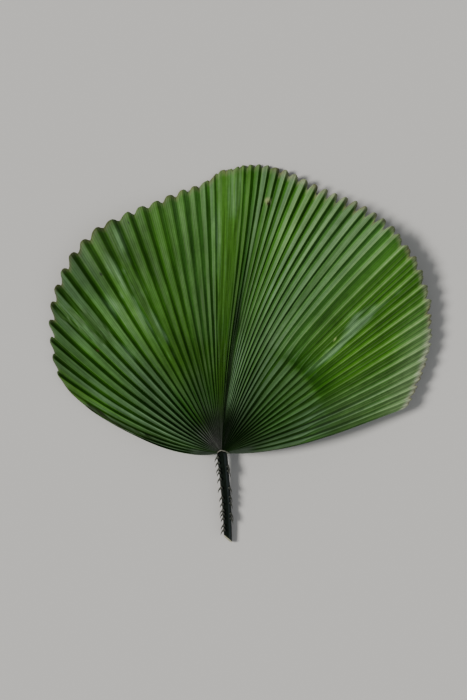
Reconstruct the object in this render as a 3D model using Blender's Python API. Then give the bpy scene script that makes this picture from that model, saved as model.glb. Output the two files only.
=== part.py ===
"""A cut leaf of a round-leaved fan palm, lying face up on a level surface.

The blade is one pleated fan, parted here along the deep fold in its middle. A thorned stalk
carries it, runs on under it as a short rib, and ends in a slanting cut. A raised ridge, the
hastula, closes the joint on top. Sizes are in metres, +Y runs from the stalk to the blade's tip,
+X to the right of someone who looks down on the leaf, and +Z is up.
"""

import math

import bmesh
import bpy
import numpy as np
from mathutils import Matrix, Vector
from mathutils.bvhtree import BVHTree

# The fan's fold lines, counted clockwise from the left corner: the line's number, its bearing in
# degrees at the margin, half way and at the hub, and how far the lobes reach there
FOLDS = (
    (0, 168.5, 175.5, 192.0, 0.1000),
    (3, 157.0, 162.2, 174.5, 0.1910),
    (6, 145.5, 149.2, 157.8, 0.2310),
    (10, 129.8, 131.5, 135.4, 0.2720),
    (15, 110.2, 110.8, 112.5, 0.2860),
    (20, 94.8, 94.9, 97.8, 0.2980),
    (23, 89.2, 88.6, 92.9, 0.3118),
    (25, 86.4, 85.2, 90.8, 0.3160),
    (27, 83.5, 82.3, 89.0, 0.3200),
    (29, 80.3, 80.6, 87.9, 0.3200),
    (31, 76.4, 78.8, 87.0, 0.3185),
    (35, 67.8, 72.6, 83.3, 0.3119),
    (39, 58.9, 63.8, 74.9, 0.3148),
    (42, 51.9, 55.5, 63.9, 0.3135),
    (44, 46.4, 47.9, 52.2, 0.3060),
    (48, 34.2, 34.3, 34.6, 0.2780),
    (50, 28.3, 27.2, 25.5, 0.2620),
    (52, 22.4, 20.3, 15.2, 0.2390),
    (55, 13.7, 11.0, -4.0, 0.2090),
)
MARGIN, HALF_WAY, HUB, REACH = 1, 2, 3, 4
LAST = 55
SEAM = 27

# The blade's shares of the way out, from the hub to the margin, where its cross lines lie
ROWS = (0.0, 0.08, 0.2, 0.33, 0.42, 0.5, 0.68, 0.86, 1.0)
COLUMNS_PER_LOBE = 4
BLADE_THICKNESS = 0.0046
SEAM_GAP = 0.0003
HUB_WIDE = 0.0076
HUB_LONG = 0.0046

# How the blade lies: heights above the surface that the leaf rests on
MARGIN_HEIGHT = 0.0090
HUB_HEIGHT = 0.0105
ARCH = 0.0130
MARGIN_LIFT = 0.0140
LIFT_SPAN = 62.0
LIFT_FROM = 90.0
FOLD_DEPTH = 0.0220
FOLD_SPREAD_LEFT = 0.085
FOLD_SPREAD_RIGHT = 0.030
FOLD_LINE = 28.6
RIGHT_LIFT = 0.0120
FOLD_AT_TIP = 0.3
STEP_AT = 0.130
STEP_WIDE = 0.010
STEP_DEPTH = 0.0030
DENT = (-0.118, 0.163)
DENT_WIDE = 0.026
DENT_DEPTH = 0.0050
RIB_HEIGHT = 0.0040
RIB_SPREAD = 0.012
RIB_FADE = 0.050

# The pleats: height as a share of the pitch, and where the crest stands between two folds
RELIEF = 0.36
RELIEF_LEFT = 0.27
RELIEF_GATHERED = 0.46
RELIEF_FLAT = 0.07
RELIEF_RIGHT = 0.25
CREST = 0.62
CREST_TOP = 0.55
CREST_FINGERS = 0.68
CREST_RIGHT = 0.2
CREST_RIGHT_INNER = 0.5
CREST_DROP = 0.7

# The lobes' tips, by zone: the last fold line of the zone, how deep its notches go in metres, and
# how far the margin falls short, as a share of that depth, from one fold to the next
TIPS = (
    (3, 0.0020, ((0.0, 1.0), (0.3, 0.4), (0.6, 0.0), (0.9, 0.4), (1.0, 1.0))),
    (12, 0.0062, ((0.0, 1.0), (0.14, 1.0), (0.3, 0.66), (0.4, 0.24), (0.48, 0.02), (0.7, 0.0),
                  (0.82, 0.12), (0.93, 0.5), (1.0, 1.0))),
    (20, 0.0048, ((0.0, 1.0), (0.08, 0.92), (0.2, 0.5), (0.33, 0.16), (0.46, 0.0), (0.68, 0.0),
                  (0.8, 0.25), (0.9, 0.75), (1.0, 1.0))),
    (30, 0.0030, ((0.0, 1.0), (0.12, 0.6), (0.3, 0.15), (0.5, 0.0), (0.8, 0.0), (0.92, 0.35),
                  (1.0, 1.0))),
    (33, 0.0052, ((0.0, 0.6), (0.08, 1.0), (0.16, 0.85), (0.28, 0.35), (0.4, 0.05), (0.55, 0.0),
                  (0.75, 0.1), (0.9, 0.3), (1.0, 0.6))),
    (42, 0.0105, ((0.0, 0.34), (0.06, 0.6), (0.13, 0.86), (0.2, 1.0), (0.25, 0.84), (0.33, 0.5),
                  (0.42, 0.2), (0.52, 0.04), (0.64, 0.0), (0.82, 0.02), (0.93, 0.12), (1.0, 0.34))),
    (48, 0.0062, ((0.0, 0.9), (0.06, 1.0), (0.14, 0.75), (0.28, 0.2), (0.4, 0.0), (0.5, 0.12),
                  (0.6, 0.3), (0.72, 0.22), (0.86, 0.45), (1.0, 0.9))),
    (55, 0.0046, ((0.0, 1.0), (0.1, 0.7), (0.22, 0.1), (0.34, 0.0), (0.46, 0.42), (0.6, 0.1),
                  (0.74, 0.0), (0.9, 0.4), (1.0, 1.0))),
)
NOTCH_AT = 0.2

# The stalk, from its cut to the hub, and the rib in which it runs on under the blade
CUT_CENTRE = Vector((0.0066, -0.0959, 0.0030))
CUT_NORMAL = Vector((-0.60, -0.70, 0.35)).normalized()
STALK_BOW = 0.0012
STALK_WIDTH_CUT = 0.0088
STALK_WIDTH_HUB = 0.0116
STALK_DEPTH_CUT = 0.0076
STALK_DEPTH_HUB = 0.0094
STALK_TOP_HUB = 0.0166
CHANNEL = 0.0016
STALK_STATIONS = 12
STALK_SIDES = 14
RIB_SHARES = (0.035, 0.055, 0.075, 0.095, 0.115, 0.14)
RIB_STEP = 0.003
RIB_TOP_WIDTH = 0.4
RIB_TIP_WIDTH = 0.0030
RIB_TIP_DEPTH = 0.0022
CLEARANCE = 0.0004

# Thorns that point back to the cut: how far below the hub each stands, then their sizes
THORNS_LEFT = (0.005, 0.011, 0.018, 0.022, 0.029, 0.039, 0.050, 0.057, 0.064, 0.068, 0.073,
               0.081, 0.086)
THORNS_RIGHT = (0.015, 0.020, 0.039, 0.049, 0.056, 0.068, 0.073)
THORN_LENGTH_LEFT = 0.0042
THORN_LENGTH_RIGHT = 0.0070
THORN_RADIUS = 0.0009
THORN_SIDES = 5

# The hastula, a bent ridge between the stalk and the blade's inner edge: its arms, how far left of
# the hub its peak stands, and how round it is, from 1 for straight arms to 2 for an ellipse
HASTULA_LEFT = 0.0044
HASTULA_RIGHT = 0.0062
HASTULA_PEAK = -0.0008
HASTULA_LONG = 0.0033
HASTULA_ROUNDNESS = 1.25
HASTULA_THICKNESS = 0.0018
HASTULA_RISE = 0.0048
HASTULA_SEGMENTS = 16
HASTULA_SPAN = (-14.0, 194.0)


def new_material(name, colour, roughness):
    material = bpy.data.materials.new(name)
    material.use_nodes = True
    shader = material.node_tree.nodes["Principled BSDF"]
    shader.inputs["Base Color"].default_value = (*colour, 1.0)
    shader.inputs["Roughness"].default_value = roughness
    shader.inputs["Metallic"].default_value = 0.0
    return material


def smooth(low, high, value):
    """0 below low, 1 above high, with an even run between them."""
    t = np.clip((value - low) / (high - low), 0.0, 1.0)
    return t * t * (3 - 2 * t)


def through(column, fold):
    """A smooth curve through one column of FOLDS, read at a line's number."""
    keys = np.array([row[0] for row in FOLDS], float)
    values = np.array([row[column] for row in FOLDS], float)
    slopes = np.gradient(values, keys)
    i = np.clip(np.searchsorted(keys, fold, side="right") - 1, 0, len(keys) - 2)
    gap = keys[i + 1] - keys[i]
    t = (fold - keys[i]) / gap
    level = values[i] * (1 + 2 * t) * (1 - t) ** 2 + values[i + 1] * t * t * (3 - 2 * t)
    return level + gap * (slopes[i] * t * (1 - t) ** 2 - slopes[i + 1] * t * t * (1 - t))


def bearing(fold, share):
    """Bearing of a fold line in radians, at a share of its reach."""
    back = 1 - share
    level = through(MARGIN, fold) * share ** 2 + through(HUB, fold) * back ** 2
    return np.radians(level + 2 * through(HALF_WAY, fold) * share * back)


def plan(fold, share):
    """Place of a point of the blade, seen from above."""
    out = through(REACH, fold) * share
    angle = bearing(fold, share)
    return out * np.cos(angle), out * np.sin(angle)


def lie(fold, share):
    """Height of the blade at a point, before its pleats."""
    x, y = plan(fold, share)
    out = np.hypot(x, y)
    lift = 0.5 - 0.5 * np.cos(2 * math.pi * (through(MARGIN, fold) - LIFT_FROM) / LIFT_SPAN)
    height = MARGIN_HEIGHT + HUB_HEIGHT * (1 - share) + 4 * ARCH * share * (1 - share)
    height = height + MARGIN_LIFT * lift * share ** 2
    height = height + RIGHT_LIFT * smooth(0.135, 0.290, out) * smooth(38, 44, fold)
    across = out * np.sin(bearing(FOLD_LINE, share) - bearing(fold, share))
    spread = np.where(across < 0, FOLD_SPREAD_LEFT, FOLD_SPREAD_RIGHT)
    deep = smooth(0.040, 0.110, out) * (1 - (1 - FOLD_AT_TIP) * smooth(0.220, 0.320, out))
    height = height - FOLD_DEPTH * deep * np.exp(-np.abs(across) / spread)
    height = height + RIB_HEIGHT * np.exp(-np.abs(across) / RIB_SPREAD - (out / RIB_FADE) ** 2)
    step = np.exp(-((out - STEP_AT) / STEP_WIDE) ** 2) * smooth(37, 42, fold)
    height = height - STEP_DEPTH * step * (1 - smooth(44, 48, fold))
    from_dent = np.hypot(x - DENT[0], y - DENT[1])
    return height - DENT_DEPTH * np.exp(-(from_dent / DENT_WIDE) ** 2)


def crest_at(fold, share):
    """Where a pleat's crest stands, as a share of the way to the next fold."""
    crest = CREST + (CREST_TOP - CREST) * smooth(14, 17, fold) * (1 - smooth(26, 29, fold))
    crest = crest + (CREST_FINGERS - CREST) * smooth(29, 32, fold) * (1 - smooth(39, 42, fold))
    right = CREST_RIGHT_INNER + (CREST_RIGHT - CREST_RIGHT_INNER) * smooth(0.38, 0.5, share)
    return crest + (right - crest) * smooth(39, 44, fold)


def pleat(lobe, part, share):
    """Height of a pleat over the middle of its flanks."""
    fold = lobe + part
    before = plan(lobe, share)
    after = plan(lobe + 1, share)
    pitch = np.hypot(after[0] - before[0], after[1] - before[1])
    crest = crest_at(lobe + 0.5, share)
    foot = crest + 0.45 * (1 - crest)
    level = np.interp(part, (0.0, crest, foot, 1.0), (-0.5, 0.5, 0.5 - CREST_DROP, -0.5))
    gathered = smooth(25.4, 27, fold) * (1 - smooth(36, 42, fold))
    flat = smooth(21.4, 22.2, fold) * (1 - smooth(25.0, 25.6, fold))
    left = smooth(10, 14, fold) * (1 - smooth(19, 21.5, fold))
    relief = RELIEF + (RELIEF_GATHERED - RELIEF) * gathered + (RELIEF_FLAT - RELIEF) * flat
    right = smooth(40, 44, fold) * smooth(0.38, 0.5, share)
    relief = relief + (RELIEF_LEFT - RELIEF) * left + (RELIEF_RIGHT - RELIEF) * right
    return pitch * relief * level


def hub_share(fold):
    """Share of the reach at which the blade starts, on an ellipse about the hub."""
    angle = bearing(fold, 0.03)
    edge = 1 / np.hypot(np.cos(angle) / HUB_WIDE, np.sin(angle) / HUB_LONG)
    return edge / through(REACH, fold)


def margin_share(lobe, part):
    """Share of the reach at which the blade ends, between the notches of its zone."""
    notch, outline = next((depth, points) for last, depth, points in TIPS if lobe < last)
    return 1 - notch / through(REACH, lobe + part) * np.interp(part, *zip(*outline))


def slab(name, columns, rows, place, thickness, material, collection):
    """A solid whose top is a grid set by place(column, row), and whose underside lies straight below."""
    bm = bmesh.new()
    bmesh.ops.create_grid(bm, x_segments=columns, y_segments=rows, size=1.0)
    for vert in bm.verts:
        column = round((vert.co.x + 1) / 2 * columns)
        row = round((vert.co.y + 1) / 2 * rows)
        vert.co = place(column, row)
    under = bmesh.ops.extrude_face_region(bm, geom=bm.faces[:])["geom"]
    verts = [item for item in under if isinstance(item, bmesh.types.BMVert)]
    bmesh.ops.translate(bm, verts=verts, vec=(0, 0, -thickness))
    return finish(name, bm, material, collection)


def finish(name, bm, material, collection):
    """Turns a finished bmesh into a named object with its material."""
    bmesh.ops.recalc_face_normals(bm, faces=bm.faces[:])
    mesh = bpy.data.meshes.new(name)
    bm.to_mesh(mesh)
    bm.free()
    mesh.materials.append(material)
    piece = bpy.data.objects.new(name, mesh)
    collection.objects.link(piece)
    return piece


def blade(name, first, last, shift, material, collection):
    """The pleated fan from one fold line to another, moved sideways clear of its other half."""
    def place(column, row):
        lobe = min(first + column // COLUMNS_PER_LOBE, last - 1)
        k = column - (lobe - first) * COLUMNS_PER_LOBE
        crest = crest_at(lobe + 0.5, ROWS[row])
        part = (0.0, min(NOTCH_AT, 0.5 * crest), crest, crest + 0.45 * (1 - crest), 1.0)[k]
        inner = hub_share(lobe + part)
        share = inner + (margin_share(lobe, part) - inner) * ROWS[row]
        x, y = plan(lobe + part, share)
        return Vector((x + shift, y, lie(lobe + part, share) + pleat(lobe, part, share)))

    columns = COLUMNS_PER_LOBE * (last - first)
    return slab(name, columns, len(ROWS) - 1, place, BLADE_THICKNESS, material, collection)


def hastula(material, collection):
    """The raised ridge, bent like a low roof, that closes the joint of stalk and blade."""
    def place(column, row):
        angle = math.radians(np.interp(column, (0, HASTULA_SEGMENTS), HASTULA_SPAN))
        inset = HASTULA_THICKNESS * (0.5 - row)
        across, along = math.cos(angle), math.sin(angle)
        bulge = 0.5 + 0.5 * max(0.0, along)
        wide = HASTULA_RIGHT if across > 0 else HASTULA_LEFT
        spread = abs(across) ** HASTULA_ROUNDNESS + abs(along) ** HASTULA_ROUNDNESS
        tent = spread ** (-1 / HASTULA_ROUNDNESS)
        x = HASTULA_PEAK + (wide - inset) * across * tent
        y = (HASTULA_LONG - inset) * along * tent
        return Vector((x, y, STALK_TOP_HUB + CLEARANCE + HASTULA_RISE * bulge))

    return slab("hastula", HASTULA_SEGMENTS, 1, place, HASTULA_RISE / 2, material, collection)


def ring(centre, width, depth, channel):
    """One section of the stalk: round below, channelled on top, centred on its top's middle."""
    points = []
    for k in range(STALK_SIDES):
        angle = 2 * math.pi * k / STALK_SIDES
        rise = math.sin(angle)
        level = 0.5 * depth * (rise - 1) - channel * max(0.0, rise) ** 3
        points.append(centre + Vector((0.5 * width * math.cos(angle), 0, level)))
    return points


def stalk_centre(share):
    """Middle of the stalk's top, at a share of the way from the cut to the hub."""
    cut_top = CUT_CENTRE.z + STALK_DEPTH_CUT / 2
    bow = STALK_BOW * math.sin(math.pi * share)
    x = CUT_CENTRE.x * (1 - share) + bow
    y = CUT_CENTRE.y * (1 - share)
    return Vector((x, y, cut_top + (STALK_TOP_HUB - cut_top) * share ** 1.2))


def stalk_width(share):
    return STALK_WIDTH_CUT + (STALK_WIDTH_HUB - STALK_WIDTH_CUT) * share


def stalk_rings(blades):
    """Sections from the slanting cut to the hub, and on along the rib under the blade."""
    graph = bpy.context.evaluated_depsgraph_get()
    trees = [BVHTree.FromObject(half, graph) for half in blades]
    rings = []
    for k in range(STALK_STATIONS):
        share = k / (STALK_STATIONS - 1)
        depth = STALK_DEPTH_CUT + (STALK_DEPTH_HUB - STALK_DEPTH_CUT) * share
        channel = CHANNEL * (1 - smooth(0.9, 1.0, share))
        rings.append(ring(stalk_centre(share), stalk_width(share), depth, channel))
    for point in rings[0]:
        off = point - CUT_CENTRE
        point.y = CUT_CENTRE.y - (CUT_NORMAL.x * off.x + CUT_NORMAL.z * off.z) / CUT_NORMAL.y
    for k, share in enumerate(RIB_SHARES):
        t = (k + 1) / len(RIB_SHARES)
        width = STALK_WIDTH_HUB + (RIB_TIP_WIDTH - STALK_WIDTH_HUB) * t
        depth = STALK_DEPTH_HUB + (RIB_TIP_DEPTH - STALK_DEPTH_HUB) * t
        x, y = plan(SEAM, share)
        top = underside(trees, x, y, width) - CLEARANCE
        rings.append(ring(Vector((x, y, top)), width, depth, 0.0))
    return rings


def underside(trees, x, y, width):
    """Lowest height of the blade's underside in a patch about a point of the rib."""
    lows = []
    for aside in np.linspace(-0.5, 0.5, 9) * RIB_TOP_WIDTH * width:
        for along in np.linspace(-RIB_STEP, RIB_STEP, 9):
            start = Vector((x + aside, y + along, -1.0))
            for tree in trees:
                hit = tree.ray_cast(start, Vector((0, 0, 1)))[0]
                if hit:
                    lows.append(hit.z)
    return min(lows)


def loft(name, rings, material, collection):
    """A solid through a row of rings, with flat ends."""
    bm = bmesh.new()
    rows = [[bm.verts.new(point) for point in points] for points in rings]
    for low, high in zip(rows, rows[1:]):
        for k in range(len(low)):
            after = (k + 1) % len(low)
            bm.faces.new((low[k], low[after], high[after], high[k]))
    bm.faces.new(rows[0])
    bm.faces.new(rows[-1])
    return finish(name, bm, material, collection)


def thorn(down, side, length, material, collection):
    """One thorn on the stalk's left (-1) or right (+1) edge, leaning back to the cut."""
    share = 1 - down / -CUT_CENTRE.y
    centre = stalk_centre(share)
    root = centre + Vector((side * 0.44 * stalk_width(share), 0, -0.32 * STALK_DEPTH_CUT))
    point = Vector((side * 0.62, -0.78, 0.10)).normalized()
    turn = point.to_track_quat("Z", "Y").to_matrix().to_4x4()
    bm = bmesh.new()
    bmesh.ops.create_cone(bm, cap_ends=True, segments=THORN_SIDES, radius1=THORN_RADIUS,
                          radius2=THORN_RADIUS * 0.15, depth=length,
                          matrix=Matrix.Translation(root + point * length * 0.32) @ turn)
    return finish("thorn", bm, material, collection)


def fuse(piece, tools):
    """Joins every object of a collection to a piece, and removes the collection's objects."""
    union = piece.modifiers.new("Union", "BOOLEAN")
    union.operation = "UNION"
    union.operand_type = "COLLECTION"
    union.collection = tools
    union.solver = "EXACT"
    bpy.context.view_layer.update()
    evaluated = piece.evaluated_get(bpy.context.evaluated_depsgraph_get())
    joined = bpy.data.meshes.new_from_object(evaluated)
    piece.modifiers.clear()
    piece.data = joined
    for tool in list(tools.objects):
        bpy.data.objects.remove(tool)
    bpy.data.collections.remove(tools)


def stalk(blades, material, collection):
    piece = loft("petiole", stalk_rings(blades), material, collection)
    tools = bpy.data.collections.new("thorns")
    bpy.context.scene.collection.children.link(tools)
    for down in THORNS_LEFT:
        thorn(down, -1, THORN_LENGTH_LEFT, material, tools)
    for down in THORNS_RIGHT:
        thorn(down, 1, THORN_LENGTH_RIGHT, material, tools)
    fuse(piece, tools)
    return piece


def settle(pieces):
    """Moves the leaf so that its lowest level and the middle of its plan are at the origin."""
    corners = [vert.co for piece in pieces for vert in piece.data.vertices]
    low = Vector([min(corner[axis] for corner in corners) for axis in range(3)])
    high = Vector([max(corner[axis] for corner in corners) for axis in range(3)])
    middle = (low + high) / 2
    move = Matrix.Translation((-middle.x, -middle.y, -low.z))
    for piece in pieces:
        piece.data.transform(move)


def main():
    for thing in list(bpy.data.objects):
        bpy.data.objects.remove(thing)
    leaf = bpy.data.collections.new("cut_fan_palm_leaf")
    bpy.context.scene.collection.children.link(leaf)
    blade_green = new_material("blade_green", (0.17, 0.27, 0.11), 0.5)
    stalk_green = new_material("stalk_green", (0.12, 0.15, 0.09), 0.45)
    hastula_pale = new_material("hastula_pale", (0.42, 0.40, 0.28), 0.6)
    blades = [
        blade("blade_left", 0, SEAM, -SEAM_GAP / 2, blade_green, leaf),
        blade("blade_right", SEAM, LAST, SEAM_GAP / 2, blade_green, leaf),
    ]
    settle([*blades, stalk(blades, stalk_green, leaf), hastula(hastula_pale, leaf)])


main()
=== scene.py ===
"""The looks of a cut fan palm leaf: its pleated blade, thorned stalk and hastula."""

import math

import bmesh
import bpy
import numpy as np
from mathutils import Matrix, Vector
from mathutils.bvhtree import BVHTree


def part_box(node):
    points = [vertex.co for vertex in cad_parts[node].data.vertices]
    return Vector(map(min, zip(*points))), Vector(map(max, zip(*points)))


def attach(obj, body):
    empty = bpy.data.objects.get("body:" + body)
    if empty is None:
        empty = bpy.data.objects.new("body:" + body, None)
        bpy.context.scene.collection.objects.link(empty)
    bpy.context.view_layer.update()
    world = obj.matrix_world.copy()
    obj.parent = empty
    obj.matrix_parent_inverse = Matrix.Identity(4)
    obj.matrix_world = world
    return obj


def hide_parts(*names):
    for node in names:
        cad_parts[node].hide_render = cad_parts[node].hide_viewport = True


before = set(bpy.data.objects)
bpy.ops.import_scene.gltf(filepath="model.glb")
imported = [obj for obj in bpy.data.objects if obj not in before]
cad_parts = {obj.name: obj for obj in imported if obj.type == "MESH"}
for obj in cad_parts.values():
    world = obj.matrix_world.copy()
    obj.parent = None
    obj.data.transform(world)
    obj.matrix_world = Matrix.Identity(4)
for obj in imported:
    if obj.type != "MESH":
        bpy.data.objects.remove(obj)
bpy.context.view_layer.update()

# The fan's fold lines, counted clockwise from the left corner: the line's number, its bearing in
# degrees at the margin, half way and at the hub, and how far the lobes reach there in metres
FOLDS = (
    (0, 168.5, 175.5, 192.0, 0.1000),
    (3, 157.0, 162.2, 174.5, 0.1910),
    (6, 145.5, 149.2, 157.8, 0.2310),
    (10, 129.8, 131.5, 135.4, 0.2720),
    (15, 110.2, 110.8, 112.5, 0.2860),
    (20, 94.8, 94.9, 97.8, 0.2980),
    (23, 89.2, 88.6, 92.9, 0.3118),
    (25, 86.4, 85.2, 90.8, 0.3160),
    (27, 83.5, 82.3, 89.0, 0.3200),
    (29, 80.3, 80.6, 87.9, 0.3200),
    (31, 76.4, 78.8, 87.0, 0.3185),
    (35, 67.8, 72.6, 83.3, 0.3119),
    (39, 58.9, 63.8, 74.9, 0.3148),
    (42, 51.9, 55.5, 63.9, 0.3135),
    (44, 46.4, 47.9, 52.2, 0.3060),
    (48, 34.2, 34.3, 34.6, 0.2780),
    (50, 28.3, 27.2, 25.5, 0.2620),
    (52, 22.4, 20.3, 15.2, 0.2390),
    (55, 13.7, 11.0, -4.0, 0.2090),
)
MARGIN, HALF_WAY, HUB, REACH = 1, 2, 3, 4
LAST = 55
SEAM = 27
CAD_THICKNESS = 0.0046

# How the blade lies, as in the solids
MARGIN_HEIGHT = 0.0090
HUB_HEIGHT = 0.0105
ARCH = 0.0130
MARGIN_LIFT = 0.0140
LIFT_SPAN = 62.0
LIFT_FROM = 90.0
FOLD_DEPTH = 0.0220
FOLD_SPREAD_LEFT = 0.085
FOLD_SPREAD_RIGHT = 0.030
FOLD_LINE = 28.6
RIGHT_LIFT = 0.0120
FOLD_AT_TIP = 0.3
STEP_AT = 0.130
STEP_WIDE = 0.010
STEP_DEPTH = 0.0030
DENT = (-0.118, 0.163)
DENT_WIDE = 0.026
DENT_DEPTH = 0.0050
RIB_HEIGHT = 0.0040
RIB_SPREAD = 0.012
RIB_FADE = 0.050
RELIEF = 0.36
RELIEF_LEFT = 0.19
RELIEF_LOW_LEFT = 0.46
RELIEF_GATHERED = 0.46
RELIEF_FLAT = 0.07
NEAR_HUB_RELIEF = 1.8
NEAR_HUB_RELIEF_LEFT = 0.9
RELIEF_WANDER = 0.22
CREST_WANDER = 0.09
RELIEF_RIGHT = 0.21
CREST = 0.62
CREST_TOP = 0.55
CREST_FINGERS = 0.68
CREST_RIGHT = 0.2
CREST_RIGHT_INNER = 0.5
CREST_DROP = 0.7
SECOND_RIDGE = 0.22

# The lobes' tips, by zone: the last fold line of the zone, how deep its notches go in metres, and
# how far the margin falls short, as a share of that depth, from one fold to the next
TIPS = (
    (3, 0.0016, ((0.0, 1.0), (0.3, 0.4), (0.6, 0.0), (0.9, 0.1), (1.0, 0.1))),
    (4, 0.0062, ((0.0, 0.05), (0.4, 0.1), (0.6, 0.0), (0.75, 0.02), (0.86, 0.2), (0.94, 0.55),
                 (1.0, 1.0))),
    (6, 0.0036, ((0.0, 1.0), (0.14, 1.0), (0.3, 0.66), (0.4, 0.24), (0.48, 0.02), (0.7, 0.0),
                 (0.82, 0.12), (0.93, 0.5), (1.0, 1.0))),
    (12, 0.0062, ((0.0, 1.0), (0.14, 1.0), (0.3, 0.66), (0.4, 0.24), (0.48, 0.02), (0.7, 0.0),
                  (0.82, 0.12), (0.93, 0.5), (1.0, 1.0))),
    (20, 0.0048, ((0.0, 1.0), (0.08, 0.92), (0.2, 0.5), (0.33, 0.16), (0.46, 0.0), (0.68, 0.0),
                  (0.8, 0.25), (0.9, 0.75), (1.0, 1.0))),
    (30, 0.0030, ((0.0, 1.0), (0.12, 0.6), (0.3, 0.15), (0.5, 0.0), (0.8, 0.0), (0.92, 0.35),
                  (1.0, 1.0))),
    (33, 0.0052, ((0.0, 0.6), (0.08, 1.0), (0.16, 0.85), (0.28, 0.35), (0.4, 0.05), (0.55, 0.0),
                  (0.75, 0.1), (0.9, 0.3), (1.0, 0.6))),
    (42, 0.0105, ((0.0, 0.34), (0.06, 0.6), (0.13, 0.86), (0.2, 1.0), (0.25, 0.84), (0.33, 0.5),
                  (0.42, 0.2), (0.52, 0.04), (0.64, 0.0), (0.82, 0.02), (0.93, 0.12), (1.0, 0.34))),
    (48, 0.0062, ((0.0, 0.9), (0.06, 1.0), (0.14, 0.75), (0.28, 0.2), (0.4, 0.0), (0.5, 0.12),
                  (0.6, 0.3), (0.72, 0.22), (0.86, 0.45), (1.0, 0.9))),
    (55, 0.0046, ((0.0, 1.0), (0.1, 0.7), (0.22, 0.1), (0.34, 0.0), (0.46, 0.42), (0.6, 0.1),
                  (0.74, 0.0), (0.9, 0.4), (1.0, 1.0))),
)
TIP_WANDER = 0.0011

# By fold line: how much further out than its even curve the margin lies, in metres
REACH_MORE = ((3.5, -0.0020), (4.5, -0.0008), (5.5, 0.0018), (6.5, 0.0018), (7.5, 0.0), (9.3, -0.0020),
              (11, 0.0004), (13.6, 0.0024), (16.3, -0.0022), (19.2, 0.0012), (21.4, 0.0010),
              (22.0, 0.0046), (23.0, 0.0044), (23.5, 0.0022), (30, 0.0025), (32.3, -0.0010),
              (33.5, 0.0012), (36, 0.0006), (41.5, -0.0026), (43.5, -0.0024), (47.4, 0.0024),
              (49.5, 0.0006), (51, 0.0022), (55, 0.0020))

# How far the first fold line turns from the second at the hub, in radians, for the basal rim
RIM_TURN = 0.09

# The fine sheet that stands for each half of the blade; it runs in to the stalk under the ridge
SHEET_HUB_WIDE = 0.0050
SHEET_HUB_LONG = 0.0034
SHEET_THICKNESS = 0.0004
SHEET_COLUMNS = 18
SHEET_ROWS = 96
VEINS_PER_LOBE = 7

# The blade's colours: its own, and the grey sheen, highlights, shade and shadow painted onto it
LEAF_GREEN = np.array((0.068, 0.200, 0.018))
LEAF_OLIVE = np.array((0.052, 0.170, 0.006))
LEAF_SHADE = np.array((0.030, 0.165, 0.002))
LEAF_SHEEN = np.array((0.108, 0.210, 0.094))
LEAF_PALE = np.array((0.195, 0.325, 0.135))
LEAF_CREASE_SHEEN = np.array((0.130, 0.250, 0.110))
LEAF_SHADOW = np.array((0.020, 0.065, 0.010))
LEAF_SOFT_SHADE = np.array((0.062, 0.135, 0.032))
LEAF_PRESSED = np.array((0.040, 0.098, 0.020))
LEAF_FRESH = np.array((0.120, 0.300, 0.030))
LEAF_BROWN = np.array((0.150, 0.120, 0.060))
DEAD_GREY = np.array((0.013, 0.024, 0.004))
BASAL_GREY = np.array((0.075, 0.105, 0.072))
RIM_GREY = np.array((0.230, 0.270, 0.220))
HUB_LILAC = np.array((0.600, 0.565, 0.570))
HUB_HIGHLIGHT = np.array((0.185, 0.310, 0.160))
HUB_SHEEN = np.array((0.190, 0.300, 0.185))
CREST_HIGHLIGHT = np.array((0.260, 0.380, 0.150))
TIP_PALE = np.array((0.330, 0.340, 0.200))
TIP_CREAM = np.array((0.400, 0.420, 0.320))
TIP_GREY = np.array((0.210, 0.225, 0.150))

# How much light the surfaces throw back
SPECULAR = 0.18
LEAF_SPECULAR = 0.10
STALK_SPECULAR = 0.07
LEAF_ROUGHNESS = 0.46

# The blade's fine grain: its scale, and the lowest and highest share of the colour that the veins
# and the grain let through
LEAF_GRAIN = 260.0
VEIN_SHARE = (0.84, 1.16)
GRAIN_SHARE = (0.78, 1.22)

# The other pieces' roughness, the scale of their grain, and its scale along the stalk beside that
STALK_GRAIN = (0.38, 900.0, 0.06)
THORN_GRAIN = (0.45, 600.0, 1.0)
CUT_GRAIN = (0.75, 1800.0, 1.0)
HASTULA_GRAIN = (0.65, 700.0, 1.0)

# The dark and light tones of the other pieces
STALK_TONES = ((0.0022, 0.0044, 0.0026), (0.0072, 0.0118, 0.0078))
THORN_TONES = ((0.020, 0.023, 0.017), (0.070, 0.073, 0.060))
SHEEN_TONES = ((0.0050, 0.0086, 0.0078), (0.0190, 0.0270, 0.0255))
# The stalk's sides that carry a painted sheen strip
SHEEN_SIDES = range(3, 8)
CUT_TONES = ((0.27, 0.26, 0.18), (0.54, 0.53, 0.40))
HASTULA_TONES = ((0.16, 0.15, 0.12), (0.44, 0.43, 0.36))

# How much painted light the blade gets: by distance from the hub in metres, and by the fold line's
# number
LIGHT_OUT = ((0.025, 0.10), (0.036, 0.13), (0.05, 0.24), (0.062, 0.36), (0.088, 0.43), (0.105, 0.48),
             (0.127, 0.54), (0.154, 0.68), (0.2, 0.80), (0.25, 0.94), (0.29, 1.04))
LIGHT_FOLD = ((0, 0.74), (3, 0.84), (6, 0.92), (8, 0.98), (10, 0.88), (12.5, 0.84), (15, 0.76),
              (20, 0.80), (24, 0.84), (26, 0.72), (27.5, 0.76), (29.5, 0.92), (32, 1.10), (36, 1.10),
              (39, 0.96), (44, 1.02), (48, 1.08), (52, 1.24), (55, 1.26))

# How far the painted shade towards the hub goes, by fold line, and what the left margin loses to painted
# shade
DARK_SHARE = ((0, 0.15), (4, 0.25), (8, 0.7), (12, 0.9), (14, 1.0), (20, 1.0), (26, 1.0), (27.5, 0.5),
              (35, 0.6), (39, 0.85), (50, 0.86), (55, 0.7))
DARK_LEFT_MARGIN = 0.40
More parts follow.
